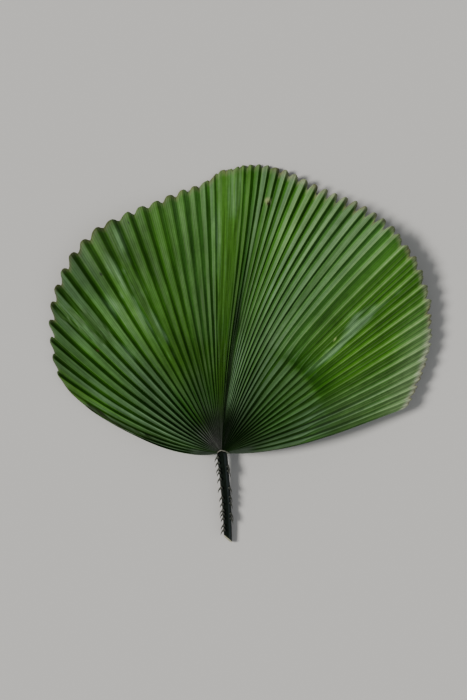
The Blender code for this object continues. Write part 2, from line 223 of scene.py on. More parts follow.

# By fold line: the painted grey sheen on the flanks that face the light, the painted highlights on
# the crests near the hub, how dark the painted shade in the valleys is and how far out it reaches,
# the painted shade near the hub, the painted grey sheen that cools the green further out, how far the
# lilac reaches from the hub in metres, and how dark the painted shade is on the flanks facing away
FLANK_SHEEN = ((0, 0.9), (2.9, 0.9), (3.6, 0.15), (4.3, 0.95), (9, 0.95), (12.5, 0.3), (20.1, 0.3),
         (20.9, 0.8), (21.7, 0.1), (26.9, 0.0), (28, 0.75), (31, 0.95), (41, 0.95), (43, 0.3), (46, 0.0),
         (50, 0.1), (54, 0.8))
HUB_HIGHLIGHTS = ((0, 0.9), (8, 0.85), (11, 0.3), (13, 0.06), (24, 0.06), (26, 0.5), (27, 0.95), (38, 0.95),
             (42, 0.45), (50, 0.45), (55, 0.75))
VALLEY_DARK = ((0, 0.75), (10, 0.6), (13, 0.5), (25, 0.5), (27, 0.95), (39, 0.85), (43, 0.6), (48, 0.65),
               (52, 0.95))
VALLEY_REACH = ((0, 0.20), (9, 0.17), (13, 0.13), (26, 0.13), (27, 0.24), (38, 0.20), (43, 0.12),
                (48, 0.14), (52, 0.24))
NEAR_SHADE = ((7, 0.0), (10, 0.5), (13, 0.85), (17, 0.85), (22, 0.0), (42, 0.0), (45, 0.5),
              (50, 0.5), (54, 0.0))
COOL = ((12, 0.0), (14, 0.04), (16.5, 0.04), (18, 0.2), (20, 0.2), (22, 0.06), (26, 0.06), (27, 0.0),
        (34, 0.0), (37, 0.26), (41, 0.26), (44, 0.0))
LILAC_REACH = ((3, 0.022), (7, 0.030), (9, 0.044), (13, 0.044), (18, 0.031), (27, 0.024))
FOOT_DARK = ((0, 0.2), (9, 0.2), (13, 0.0), (26.9, 0.0), (28, 0.48), (36, 0.48), (41, 0.3), (48, 0.28),
             (52, 0.45))

# The last fold line that lies in the painted shadow of the deep fold, by distance from the hub
DARK_EDGE = ((0.050, 31.0), (0.078, 31.0), (0.098, 30.4), (0.138, 29.7), (0.179, 28.5), (0.218, 27.7),
             (0.300, 27.2))

# Marks on the blade: bearing in degrees, distance from the hub, radius and colour
SPOTS = (
    (79.6, 0.2840, 0.0046, (0.230, 0.290, 0.120)),
    (79.4, 0.2812, 0.0022, (0.030, 0.018, 0.006)),
    (140.5, 0.1786, 0.0018, (0.120, 0.060, 0.025)),
    (124.0, 0.2381, 0.0016, (0.012, 0.020, 0.008)),
    (112.0, 0.2734, 0.0014, (0.012, 0.020, 0.008)),
    (107.5, 0.2470, 0.0013, (0.110, 0.070, 0.030)),
    (59.7, 0.1257, 0.0010, (0.420, 0.520, 0.400)),
    (45.3, 0.1764, 0.0015, (0.330, 0.460, 0.150)),
)

# Patches where the leaf was creased, painted with a bright sheen: bearing in degrees, distance from
# the hub, how far they run outwards and sideways, and how strong their painted sheen is
CREASE_SHEEN_PATCHES = (
    (120.5, 0.2270, 0.028, 0.0056, 0.9),
    (116.5, 0.1580, 0.022, 0.0034, 0.9),
    (120.4, 0.1660, 0.024, 0.0036, 0.9),
    (132.7, 0.1510, 0.018, 0.0034, 0.9),
    (116.0, 0.2440, 0.014, 0.0042, 0.8),
    (127.0, 0.2030, 0.014, 0.0070, 0.8),
    (115.5, 0.2700, 0.016, 0.0050, 0.6),
    (44.3, 0.2080, 0.014, 0.0055, 2.0),
    (42.6, 0.1850, 0.044, 0.0034, 1.5),
    (87.2, 0.2930, 0.028, 0.0068, 0.9),
    (91.0, 0.2500, 0.050, 0.0030, 0.7),
)

# Dull patches where the pleats are pressed flat, given in the same way
DULL_PATCHES = (
    (136.0, 0.2060, 0.025, 0.0125, 2.0),
    (117.7, 0.2030, 0.022, 0.0080, 1.7),
    (123.5, 0.2470, 0.016, 0.0060, 0.5),
    (138.5, 0.2350, 0.014, 0.0070, 0.7),
)

# The stalk
CUT_CENTRE = Vector((0.0066, -0.0959, 0.0030))
CUT_NORMAL = Vector((-0.60, -0.70, 0.35)).normalized()
STALK_BOW = 0.0012
STALK_WIDTH_CUT = 0.0088
STALK_WIDTH_HUB = 0.0116
STALK_DEPTH_CUT = 0.0076
STALK_DEPTH_HUB = 0.0094
STALK_TOP_HUB = 0.0166
CHANNEL = 0.0016
STALK_STATIONS = 90
STALK_SIDES = 40
RIB_STATIONS = 24
RIB_END = 0.16
RIB_TIP_WIDTH = 0.0026
RIB_TIP_DEPTH = 0.0020
THORNS_LEFT = (0.005, 0.011, 0.018, 0.022, 0.029, 0.039, 0.050, 0.057, 0.064, 0.068, 0.073,
               0.081, 0.086)
THORNS_RIGHT = (0.015, 0.020, 0.039, 0.049, 0.056, 0.068, 0.073)
THORN_LEFT = (0.0070, 0.0013, Vector((-0.84, -0.42, 0.24)))
THORN_RIGHT = (0.0088, 0.0010, Vector((0.66, -0.74, 0.16)))

# The hastula
HASTULA_LEFT = 0.0044
HASTULA_RIGHT = 0.0090
HASTULA_PEAK = -0.0008
HASTULA_LONG = 0.0033
HASTULA_ROUNDNESS = 1.25
HASTULA_THICKNESS = 0.0018
HASTULA_RISE = 0.0048
HASTULA_LOW_LEFT = 0.5
HASTULA_LOW_RIGHT = 0.85
HASTULA_SPAN = (-14.0, 194.0)
HASTULA_STEPS = 80
HASTULA_SIDES = 12
CLEARANCE = 0.0004

# The hub's place in the frame, read from the hastula, which stands round it
LOW, HIGH = (Vector(corner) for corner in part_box("hastula"))
HUB_PLACE = Vector((LOW.x + HASTULA_LEFT + HASTULA_THICKNESS / 2 - HASTULA_PEAK,
                    HIGH.y - HASTULA_LONG - HASTULA_THICKNESS / 2,
                    HIGH.z - STALK_TOP_HUB - CLEARANCE - HASTULA_RISE))

# The floor, the sky, and the view: straight down, with the stalk towards the bottom edge
FLOOR_SIZE = 30.0
FLOOR_LEVEL = -0.0006
FLOOR_TONE = (0.62, 0.61, 0.59)
SKY_TONE = (0.95, 0.97, 1.0)
SKY_STRENGTH = 0.22
LENS = 85.0
SENSOR = 36.0
VIEW_HEIGHT = 0.772
VIEW_CENTRE = (-0.0071, 0.0048)
VIEW_LEVEL = 0.018

# The lights: where they come from, their spread in degrees, strength and colour
KEY = ((-1.0, 0.07, 1.0), 18.0, 3.3, (1.0, 0.98, 0.94))
FILL = ((1.0, -0.5, 1.3), 60.0, 0.4, (0.93, 0.97, 1.0))


def smooth(low, high, value):
    """0 below low, 1 above high, with an even run between them."""
    t = np.clip((value - low) / (high - low), 0.0, 1.0)
    return t * t * (3 - 2 * t)


def bump(at, wide, value):
    return np.exp(-((value - at) / wide) ** 2)


def through(column, fold):
    """A smooth curve through one column of FOLDS, read at a line's number."""
    keys = np.array([row[0] for row in FOLDS], float)
    values = np.array([row[column] for row in FOLDS], float)
    slopes = np.gradient(values, keys)
    i = np.clip(np.searchsorted(keys, fold, side="right") - 1, 0, len(keys) - 2)
    gap = keys[i + 1] - keys[i]
    t = (fold - keys[i]) / gap
    level = values[i] * (1 + 2 * t) * (1 - t) ** 2 + values[i + 1] * t * t * (3 - 2 * t)
    return level + gap * (slopes[i] * t * (1 - t) ** 2 - slopes[i + 1] * t * t * (1 - t))


def bearing(fold, share):
    """Bearing of a fold line in radians, at a share of its reach."""
    back = 1 - share
    level = through(MARGIN, fold) * share ** 2 + through(HUB, fold) * back ** 2
    return np.radians(level + 2 * through(HALF_WAY, fold) * share * back)


def plan(fold, share):
    """Place of a point of the blade, seen from above, from the hub."""
    out = through(REACH, fold) * share
    angle = bearing(fold, share)
    return out * np.cos(angle), out * np.sin(angle)


def lie(fold, share):
    """Height of the blade at a point, before its pleats."""
    x, y = plan(fold, share)
    out = np.hypot(x, y)
    lift = 0.5 - 0.5 * np.cos(2 * math.pi * (through(MARGIN, fold) - LIFT_FROM) / LIFT_SPAN)
    height = MARGIN_HEIGHT + HUB_HEIGHT * (1 - share) + 4 * ARCH * share * (1 - share)
    height = height + MARGIN_LIFT * lift * share ** 2
    height = height + RIGHT_LIFT * smooth(0.135, 0.290, out) * smooth(38, 44, fold)
    across = out * np.sin(bearing(FOLD_LINE, share) - bearing(fold, share))
    spread = np.where(across < 0, FOLD_SPREAD_LEFT, FOLD_SPREAD_RIGHT)
    deep = smooth(0.040, 0.110, out) * (1 - (1 - FOLD_AT_TIP) * smooth(0.220, 0.320, out))
    height = height - FOLD_DEPTH * deep * np.exp(-np.abs(across) / spread)
    height = height + RIB_HEIGHT * np.exp(-np.abs(across) / RIB_SPREAD - (out / RIB_FADE) ** 2)
    step = STEP_DEPTH * smooth(37, 42, fold) * (1 - smooth(44, 48, fold))
    height = height - step * bump(STEP_AT, STEP_WIDE, out)
    from_dent = np.hypot(x - DENT[0], y - DENT[1])
    return height - DENT_DEPTH * np.exp(-(from_dent / DENT_WIDE) ** 2)


def crest_at(lobe, share):
    """Where a lobe's crest stands, as a share of the way to the next fold."""
    fold = lobe + 0.5
    crest = CREST + (CREST_TOP - CREST) * smooth(14, 17, fold) * (1 - smooth(26, 29, fold))
    crest = crest + (CREST_FINGERS - CREST) * smooth(29, 32, fold) * (1 - smooth(39, 42, fold))
    right = CREST_RIGHT_INNER + (CREST_RIGHT - CREST_RIGHT_INNER) * smooth(0.38, 0.5, share)
    crest = crest + (right - crest) * smooth(39, 44, fold)
    return crest + CREST_WANDER * hash_noise(31, 55, 3, fold / LAST, share) * (crest > 0.4)


def profile(part, crest):
    """A pleat's height from -0.5 to 0.5 between two folds, with rounded edges."""
    foot = crest + 0.45 * (1 - crest)
    low = 0.5 - CREST_DROP

    def sharp(t):
        t = t % 1.0
        rising = -0.5 + t / crest
        falling = 0.5 - CREST_DROP * (t - crest) / (foot - crest)
        last = low + (-0.5 - low) * (t - foot) / (1 - foot)
        return np.where(t < crest, rising, np.where(t < foot, falling, last))

    return sum(sharp(part + shift) for shift in (-0.05, -0.025, 0.0, 0.025, 0.05)) / 5


def pleat(fold, share):
    """Height of the pleats over the middle of their flanks."""
    lobe = np.clip(np.floor(fold), 0, LAST - 1)
    before = plan(lobe, share)
    after = plan(lobe + 1, share)
    pitch = np.hypot(after[0] - before[0], after[1] - before[1])
    gathered = smooth(25.4, 27, fold) * (1 - smooth(36, 42, fold))
    flat = smooth(21.4, 22.2, fold) * (1 - smooth(25.0, 25.6, fold))
    left = smooth(10, 14, fold) * (1 - smooth(19, 21.5, fold))
    relief = RELIEF + (RELIEF_GATHERED - RELIEF) * gathered + (RELIEF_FLAT - RELIEF) * flat
    right = smooth(40, 44, fold) * smooth(0.38, 0.5, share)
    relief = relief + (RELIEF_LEFT - RELIEF) * left + (RELIEF_RIGHT - RELIEF) * right
    relief = relief + (RELIEF_LOW_LEFT - RELIEF) * smooth(1, 3, fold) * (1 - smooth(8, 11, fold))
    relief = relief * (1 + RELIEF_WANDER * hash_noise(33, 55, 4, (lobe + 0.5) / LAST, share))
    level = profile(fold - lobe, crest_at(lobe, share))
    level = level + SECOND_RIDGE * right * bump(0.72, 0.07, fold - lobe)
    out = np.hypot(*plan(fold, share))
    relief = relief * (1 - 0.85 * (1 - smooth(2.6, 3.4, fold)) * smooth(0.06, 0.1, out))
    relief = relief * (1 - 0.9 * basal_band(fold, out))
    relief = relief * (1 - 0.4 * np.clip(creased(fold, share, CREASE_SHEEN_PATCHES), 0, 1))
    relief = relief * (1 - 0.9 * np.clip(creased(fold, share, DULL_PATCHES), 0, 1))
    soft = smooth(10, 13, fold) * (1 - smooth(24, 27, fold))
    more = NEAR_HUB_RELIEF + (NEAR_HUB_RELIEF_LEFT - NEAR_HUB_RELIEF) * soft
    return pitch * relief * level * (1 + more * (1 - smooth(0.03, 0.15, out)))


def basal_band(fold, out):
    """The unpleated strip along the blade's two basal edges, near the hub."""
    side = 1 - smooth(2.4, 3.6, fold) + smooth(51.8, 53.0, fold)
    return side * (1 - smooth(0.028, 0.042, out))


def creased(fold, share, patches):
    """How much of the patches lies at a point, ragged at their edges and broken along the veins."""
    x, y = plan(fold, share)
    total = np.zeros_like(fold)
    ragged = 1 + 0.7 * hash_noise(41, 160, 26, fold / LAST, share)
    broken = 0.62 + 0.55 * hash_noise(42, 330, 14, fold / LAST, share)
    for patch_bearing, patch_out, along, aside, strength in patches:
        angle = math.radians(patch_bearing)
        forth = x * math.cos(angle) + y * math.sin(angle) - patch_out
        across = y * math.cos(angle) - x * math.sin(angle)
        near = np.exp(-((forth / along) ** 2 + (across / aside) ** 2) * ragged)
        total = total + strength * near * broken
    return total


def hub_share(fold):
    """Share of the reach at which the blade starts, on an ellipse about the hub."""
    angle = bearing(fold, 0.03)
    edge = 1 / np.hypot(np.cos(angle) / SHEET_HUB_WIDE, np.sin(angle) / SHEET_HUB_LONG)
    return edge / through(REACH, fold)


def margin_share(fold):
    """Share of the reach at which the blade ends, between the notches of its zone."""
    lobe = np.clip(np.floor(fold), 0, LAST - 1)
    start = 0
    short = np.zeros_like(fold)
    for last, notch, outline in TIPS:
        here = (lobe >= start) & (lobe < last)
        short = np.where(here, notch * np.interp(fold - lobe, *zip(*outline)), short)
        start = last
    along = np.zeros_like(fold)
    wander = hash_noise(51, 55, 1, fold / LAST, along) + 0.5 * hash_noise(52, 165, 1, fold / LAST, along)
    return 1 - (short + TIP_WANDER * wander - by_fold(REACH_MORE, fold)) / through(REACH, fold)


def sheet_grid(first, last):
    """The fold number and share of every point of a half's fine grid, rows by columns."""
    fold = np.linspace(first + 1e-6, last - 1e-6, (last - first) * SHEET_COLUMNS + 1)
    rows = np.linspace(0, 1, SHEET_ROWS)
    rows = rows * (1 - 0.25 * (1 - rows))
    inner = hub_share(fold)
    outer = margin_share(fold)
    share = inner[None, :] + (outer - inner)[None, :] * rows[:, None]
    return np.broadcast_to(fold, share.shape), share


def hash_noise(seed, shape_u, shape_v, u, v):
    """Smooth seeded noise from -1 to 1 over a grid of random values."""
    values = np.random.default_rng(seed).uniform(-1, 1, (shape_u + 2, shape_v + 2))
    u = np.clip(u, 0, 0.999999) * shape_u
    v = np.clip(v, 0, 0.999999) * shape_v
    i, j = u.astype(int), v.astype(int)
    s, t = u - i, v - j
    s, t = s * s * (3 - 2 * s), t * t * (3 - 2 * t)
    top = values[i, j] * (1 - s) + values[i + 1, j] * s
    low = values[i, j + 1] * (1 - s) + values[i + 1, j + 1] * s
    return top * (1 - t) + low * t


def sheet_height(fold, share):
    """Height of the sheet's top in the hub's frame: the solids' form, with finer unevenness."""
    height = lie(fold, share) + pleat(fold, share) - CAD_THICKNESS + SHEET_THICKNESS
    wander = hash_noise(5, 110, 9, fold / LAST, share) * 0.0005
    fine = hash_noise(8, 220, 40, fold / LAST, share) * 0.00012
    return height + (wander + fine) * smooth(0.05, 0.3, share)


def mix(colour, other, amount):
    return colour * (1 - amount[..., None]) + other * amount[..., None]


def by_fold(table, fold):
    """A table's value at a fold line, straight from one row to the next."""
    return np.interp(fold, *zip(*table))


def flank_colour(fold, share, out, part, crest):
    """The blade's tissue: green, olive in the wide flat lobes, with painted sheen, highlights and shade.
    """
    lobe = np.clip(np.floor(fold), 0, LAST - 1)
    colour = np.broadcast_to(LEAF_GREEN, fold.shape + (3,))
    narrow = smooth(28, 30, fold) * (1 - smooth(37, 42, fold))
    start = smooth(0.0, 0.1, part) * (1 - narrow) + smooth(0.12, 0.34, part) * narrow
    bright = start * (1 - smooth(crest - 0.02, crest + 0.06, part))
    flank_sheen = by_fold(FLANK_SHEEN, fold) * (0.85 + 0.5 * hash_noise(61, 55, 3, (lobe + 0.5) / LAST, share))
    inland = smooth(11.5, 13.5, fold) * (1 - smooth(25, 26.5, fold)) * (1 - smooth(0.08, 0.15, out))
    flank_sheen = flank_sheen * (1 - inland)
    # Painted grey sheen inside the step on the right, and over the far right flanks
    inner = smooth(39, 42, fold) * (1 - smooth(0.118, 0.126, out))
    right_sheen = smooth(48.5, 52.5, fold) * smooth(0.07, 0.12, out)
    grey = flank_sheen * bright + 0.6 * inner * (0.3 + 0.5 * bright)
    grey = grey + 0.75 * right_sheen * (0.5 + 0.5 * bright)
    colour = mix(colour, LEAF_SHEEN, np.clip(grey, 0, 1))
    fresh = bump(3.5, 0.7, fold) * smooth(0.135, 0.175, out) + 0.5 * bump(11.9, 0.5, fold)
    colour = mix(colour, LEAF_FRESH, np.clip(0.6 * fresh * bright, 0, 1))
    wide = smooth(11, 14, fold) * (1 - smooth(25.4, 26.2, fold))
    wide = wide * (1 - 0.35 * smooth(0.13, 0.2, out) - 0.3 * smooth(0.22, 0.3, out))
    wide = wide * (1 - 0.9 * bump(20.9, 0.7, fold))
    colour = mix(colour, LEAF_OLIVE * 1.1, (0.8 + 0.15 * bump(23.7, 1.6, fold)) * wide)
    right = smooth(43, 46, fold) * (1 - smooth(48, 51, fold)) * smooth(0.12, 0.14, out)
    colour = mix(colour, LEAF_OLIVE, 0.6 * right * (1 - 0.5 * smooth(0.25, 0.3, out)))
    # Painted shade on the outer side of the step
    band = smooth(0.122, 0.127, out) * (1 - smooth(0.130, 0.170, out))
    band = band * smooth(41.4, 43.4, fold) * (1 - smooth(48, 51, fold))
    colour = mix(colour, LEAF_SHADE * 0.6, 0.8 * band)
    colour = mix(colour, LEAF_PALE, 0.8 * smooth(0.78, 0.95, share) * smooth(46, 50, fold))
    # Painted highlight on the lit flanks of the right lobes
    colour = mix(colour, LEAF_PALE, 0.35 * smooth(0.6, 0.9, share) * smooth(30, 33, fold) * bright)
    # Painted highlights along the crests, and on the secondary ridges of the right lobes
    far = smooth(0.11, 0.15, out)
    ridge_highlight = bump(crest - 0.02, 0.035, part) * far * smooth(27, 30, fold)
    second = bump(crest + 0.26, 0.035, part) + 1.2 * bump(crest + 0.52, 0.04, part)
    ridge_highlight = ridge_highlight + second * far * smooth(41, 45, fold)
    colour = mix(colour, CREST_HIGHLIGHT, 0.5 * ridge_highlight * (1 - 0.7 * band))
    foot = smooth(crest, crest + 0.12, part) * (1 - 0.5 * smooth(0.88, 1.0, part) * (1 - narrow))
    foot = np.maximum(foot, 0.8 * narrow * (1 - start))
    flat = smooth(21.4, 22.2, fold) * (1 - smooth(25.0, 25.6, fold))
    shade = 0.75 * foot * (1 - flat) * (1 - 0.5 * smooth(40, 44, fold)) * (1 - 0.8 * right_sheen)
    colour = mix(colour, LEAF_SHADE, shade)
    # A lighter, greyer painted shade on the far flanks near the left margin
    soft_shade = foot * smooth(0.80, 0.97, share) * (1 - smooth(17, 20, fold))
    colour = mix(colour, LEAF_SOFT_SHADE, 0.45 * soft_shade)
    colour = mix(colour, LEAF_SHADE, by_fold(NEAR_SHADE, fold) * bump(0.062, 0.026, out))
    colour = mix(colour, LEAF_SHADE, 0.4 * bump(24, 2, fold) * bump(0.140, 0.014, out))
    # Painted grey sheen that cools the green further out
    colour = mix(colour, LEAF_SHEEN, by_fold(COOL, fold) * smooth(0.115, 0.135, out))
    return colour * (1 - by_fold(FOOT_DARK, fold) * foot * smooth(0.08, 0.12, out))[..., None]


def hub_colour(colour, fold, share, out, part, crest):
    """Adds painted crest highlights by the hub, the painted shadow right of the stalk, lilac left of it.
    """
    near = 1 - smooth(0.05, 0.14, out)
    # Painted highlights on the crests near the hub
    line = bump(crest - 0.06, 0.13, part) * near * smooth(0.008, 0.016, out)
    colour = mix(colour, HUB_HIGHLIGHT, by_fold(HUB_HIGHLIGHTS, fold) * line)
    # Painted sheen right of the deep fold's shadow, mostly on the crests
    fold_sheen = deep_fold(fold, out, 0.4, 1.2) * (1 - smooth(33, 38, fold)) * (1 - smooth(0.10, 0.145, out))
    fold_sheen = fold_sheen * smooth(0.042, 0.058, out) * (0.12 + 0.7 * bump(crest - 0.05, 0.24, part))
    colour = mix(colour, HUB_SHEEN, fold_sheen)
    # Painted shadow right of the stalk, darkest in the wedge by the hub
    right = smooth(26.8, 27.4, fold)
    hub = (1 - smooth(0.022, 0.062, out)) * right * (1 - 0.6 * smooth(46, 53, fold))
    colour = mix(colour, LEAF_SHADOW, 0.85 * hub)
    wedge = (1 - smooth(0.032, 0.060, out)) * right * (1 - smooth(36, 44, fold))
    colour = mix(colour, LEAF_SHADOW * 0.3, 0.9 * wedge)
    # The pale lilac left of the hub: partly its own colour, partly painted highlight on the lit crests
    from_hub = out / by_fold(LILAC_REACH, fold)
    lilac = (1 - smooth(0.35, 1.0, from_hub)) * smooth(3, 6, fold) * (1 - smooth(26.6, 27, fold))
    lilac = lilac * (0.7 + 0.5 * hash_noise(62, 330, 60, fold / LAST, share))
    lilac = lilac * (1 - 0.9 * smooth(0.4, 0.75, from_hub) * (1 - bump(crest, 0.2, part)))
    lilac = lilac * (0.5 + 0.5 * smooth(8, 13, fold))
    # A painted highlight along the seam's crest by the hub
    lilac = lilac + bump(26.7, 0.3, fold) * (1 - smooth(0.030, 0.044, out))
    colour = mix(colour, HUB_LILAC, np.clip(0.85 * lilac, 0, 0.9))
    # Bright painted highlights on the crests near the hub
    crest_glints = bump(crest, 0.11, part) * smooth(7, 10, fold) * (1 - smooth(25, 26.5, fold))
    crest_glints = crest_glints * smooth(0.006, 0.012, out) * (1 - smooth(0.022, 0.046, out))
    colour = mix(colour, HUB_LILAC * 1.9, 0.7 * crest_glints)
    gap = (1 - bump(crest, 0.24, part)) * smooth(0.008, 0.016, out) * (1 - smooth(0.036, 0.056, out))
    gap = gap * smooth(7, 10, fold) * (1 - smooth(25.5, 26.6, fold))
    colour = mix(colour, LEAF_SHADE * 0.3, (0.3 + 0.3 * smooth(12, 16, fold)) * gap)
    # Painted shade in the valleys, reaching out from the hub
    reach = by_fold(VALLEY_REACH, fold)
    valley = (bump(0.0, 0.14, part) + bump(1.0, 0.18, part)) * (1 - smooth(0.35, 1.0, out / reach))
    return mix(colour, LEAF_SHADOW * 0.3, np.clip(by_fold(VALLEY_DARK, fold) * valley, 0, 1))


def deep_fold(fold, out, before, after):
    """0 in the painted shadow of the deep fold and 1 past its right edge."""
    edge = by_fold(DARK_EDGE, out)
    return smooth(edge - before, edge + after, fold)


def shaded(fold, out):
    """The painted shadow of the deep fold."""
    return smooth(26.7, 27.1, fold) * (1 - deep_fold(fold, out, 0.5, 0.5)) * smooth(0.03, 0.05, out)


def edge_colour(colour, fold, share, out):
    """Adds the dead strip at the left corner, the basal bands and the pale or brown margin."""
    dead = (1 - smooth(2.6, 3.1, fold)) * smooth(0.06, 0.09, out) * (1 - smooth(0.155, 0.168, out))
    dead = dead * (0.8 + 0.4 * hash_noise(63, 110, 30, fold / LAST, share))
    colour = mix(colour, DEAD_GREY, np.clip(0.96 * dead, 0, 1))
    frayed = (1 - smooth(0.5, 1.1, fold)) * smooth(0.085, 0.105, out) * (1 - smooth(0.150, 0.165, out))
    colour = mix(colour, LEAF_BROWN * 0.45, 0.75 * frayed)
    corner = (1 - smooth(2.6, 3.2, fold)) * smooth(0.155, 0.168, out)
    colour = mix(colour, LEAF_FRESH * 0.8, 0.8 * corner)
    colour = mix(colour, BASAL_GREY, 0.85 * basal_band(fold, out))
    # A pale rim along the thickened basal edges: partly their own colour, partly painted sheen
    rim = 1 - smooth(0.0006, 0.0014, fold * RIM_TURN * out) + 0.5 * smooth(54.7, 54.85, fold)
    colour = mix(colour, RIM_GREY, 0.85 * rim * (1 - smooth(0.045, 0.075, out)))
    colour = mix(colour, TIP_GREY, 0.5 * smooth(0.970, 0.992, share) * smooth(29, 31, fold))
    edge = smooth(0.980, 0.996, share / margin_share(fold))
    cream = smooth(0.950, 0.985, share / margin_share(fold)) * smooth(48, 51, fold)
    colour = mix(colour, TIP_PALE, (0.28 + 0.14 * smooth(18, 22, fold)) * edge)
    colour = mix(colour, TIP_CREAM, 0.48 * cream)
    blotch = hash_noise(3, 70, 2, fold / LAST, share) > 0.1
    return mix(colour, LEAF_BROWN, 0.5 * edge * blotch)


def painted_light(fold, out):
    """Painted light and shade: less light by the hub, in the gathered folds and at the left margin."""
    gather = bump(29.4, 3.4, fold) * smooth(0.12, 0.15, out) * (1 - 0.7 * smooth(0.19, 0.25, out))
    dark = by_fold(DARK_SHARE, fold) * (1 - np.interp(out, *zip(*LIGHT_OUT)))
    light = np.maximum(1 - dark, 0.06) * by_fold(LIGHT_FOLD, fold) * (1 - 0.3 * gather)
    light = light * (1 - shaded(fold, out) * (0.75 - 0.4 * smooth(0.15, 0.2, out)))
    light = light * (1 - 0.4 * (1 - smooth(0.016, 0.036, out)) * (1 - smooth(9, 13, fold)))
    low = 0.2 - 0.07 * (1 - smooth(5, 9, fold))
    light = light * (1 - DARK_LEFT_MARGIN * smooth(low, low + 0.05, out) * (1 - smooth(13, 17, fold)))
    light = light * (1 - 0.16 * bump(32, 4, fold) * bump(0.142, 0.018, out))
    light = light * (1 - 0.15 * bump(15, 2.5, fold) * bump(0.068, 0.020, out))
    light = light * (1 - 0.12 * bump(15, 2.5, fold) * bump(0.220, 0.020, out))
    return light * (1 - 0.25 * smooth(0.19, 0.21, out) * (1 - smooth(4, 7, fold)))


def sheet_colour(fold, share):
    """The leaf's colours, with its creases, streaks and spots, and painted light and shade."""
    x, y = plan(fold, share)
    out = np.hypot(x, y)
    lobe = np.clip(np.floor(fold), 0, LAST - 1)
    part = fold - lobe
    crest = crest_at(lobe, share)
    colour = flank_colour(fold, share, out, part, crest)
    colour = hub_colour(colour, fold, share, out, part, crest)
    colour = mix(colour, LEAF_SHADE, 0.9 * shaded(fold, out) * smooth(0.09, 0.125, out))
    colour = edge_colour(colour, fold, share, out)
    colour = colour * painted_light(fold, out)[..., None]
    colour = mix(colour, LEAF_PRESSED, np.clip(creased(fold, share, DULL_PATCHES) - 0.1, 0, 0.8))
    # Painted sheen where the creases catch the light
    colour = mix(colour, LEAF_CREASE_SHEEN, np.clip(1.1 * creased(fold, share, CREASE_SHEEN_PATCHES) - 0.1, 0, 0.85))
    streak = 1 + 0.24 * hash_noise(12, 440, 5, fold / LAST, share)
    streak = streak + 0.10 * hash_noise(13, 220, 3, fold / LAST, share)
    cloud = 1 + 0.12 * hash_noise(14, 60, 10, fold / LAST, share)
    cloud = cloud + 0.12 * hash_noise(15, 180, 34, fold / LAST, share)
    colour = colour * (streak * cloud)[..., None]
    for spot_bearing, spot_out, wide, tint in SPOTS:
        angle = math.radians(spot_bearing)
        away = np.hypot(x - spot_out * math.cos(angle), y - spot_out * math.sin(angle))
        colour = mix(colour, np.array(tint), 1 - smooth(wide * 0.6, wide, away))
    return colour


def new_object(name, mesh, material):
    mesh.materials.append(material)
    piece = bpy.data.objects.new(name, mesh)
    bpy.context.scene.collection.objects.link(piece)
    mesh.shade_smooth()
    return piece


def grid_faces(rows, columns, start, flip):
    """Quads of a grid of points that begins at a given index."""
    i = np.arange(rows - 1)[:, None] * columns + np.arange(columns - 1)[None, :] + start
    quads = np.stack([i, i + 1, i + columns + 1, i + columns], -1).reshape(-1, 4)
    return quads[:, ::-1] if flip else quads


def rim_faces(rows, columns, offset):
    """Quads that close the edge between a grid and its copy, offset further on in the list."""
    index = np.arange(rows * columns).reshape(rows, columns)
    loop = np.concatenate([index[0, :], index[1:, -1], index[-1, -2::-1], index[-2:0:-1, 0]])
    after = np.roll(loop, -1)
    return np.stack([loop, after, after + offset, loop + offset], -1)


def blade_sheet(name, first, last, material):
    """One half of the blade as a thin closed sheet, with its colours on its points."""
    fold, share = sheet_grid(first, last)
    x, y = plan(fold, share)
    top = np.stack([x, y, sheet_height(fold, share)], -1).reshape(-1, 3) + np.array(HUB_PLACE)
    under = top - np.array((0, 0, SHEET_THICKNESS))
    rows, columns = fold.shape
    count = rows * columns
    faces = np.concatenate([grid_faces(rows, columns, 0, True),
                            grid_faces(rows, columns, count, False),
                            rim_faces(rows, columns, count)])
    mesh = bpy.data.meshes.new(name)
    mesh.from_pydata(np.concatenate([top, under]).tolist(), [], faces.tolist())
    colour = sheet_colour(fold, share).reshape(-1, 3)
    both = np.concatenate([colour, colour * 0.9])
    rgba = np.concatenate([both, np.ones((2 * count, 1))], 1)
    tint = mesh.color_attributes.new("tint", "FLOAT_COLOR", "POINT")
    tint.data.foreach_set("color", rgba.astype(np.float32).ravel())
    strand = mesh.attributes.new("strand", "FLOAT", "POINT")
    strand.data.foreach_set("value", np.tile(fold.ravel(), 2).astype(np.float32))
    bm = bmesh.new()
    bm.from_mesh(mesh)
    bmesh.ops.recalc_face_normals(bm, faces=bm.faces[:])
    bm.to_mesh(mesh)
    bm.free()
    return new_object(name, mesh, material)


def ring(centre, width, depth, channel, sides):
    """One section of the stalk: round below, channelled on top, centred on its top's middle."""
    angle = 2 * np.pi * np.arange(sides) / sides
    rise = np.sin(angle)
    level = 0.5 * depth * (rise - 1) - channel * np.maximum(0.0, rise) ** 3
    across = centre[0] + 0.5 * width * np.cos(angle)
    return np.stack([across, np.full(sides, centre[1]), centre[2] + level], -1)


def stalk_centre(share):
    """Middle of the stalk's top, at a share of the way from the cut to the hub."""
    cut_top = CUT_CENTRE.z + STALK_DEPTH_CUT / 2
    bow = STALK_BOW * math.sin(math.pi * min(share, 1.0))
    return (CUT_CENTRE.x * (1 - share) + bow, CUT_CENTRE.y * (1 - share),
            cut_top + (STALK_TOP_HUB - cut_top) * share ** 1.2)


def stalk_width(share):
    return STALK_WIDTH_CUT + (STALK_WIDTH_HUB - STALK_WIDTH_CUT) * share


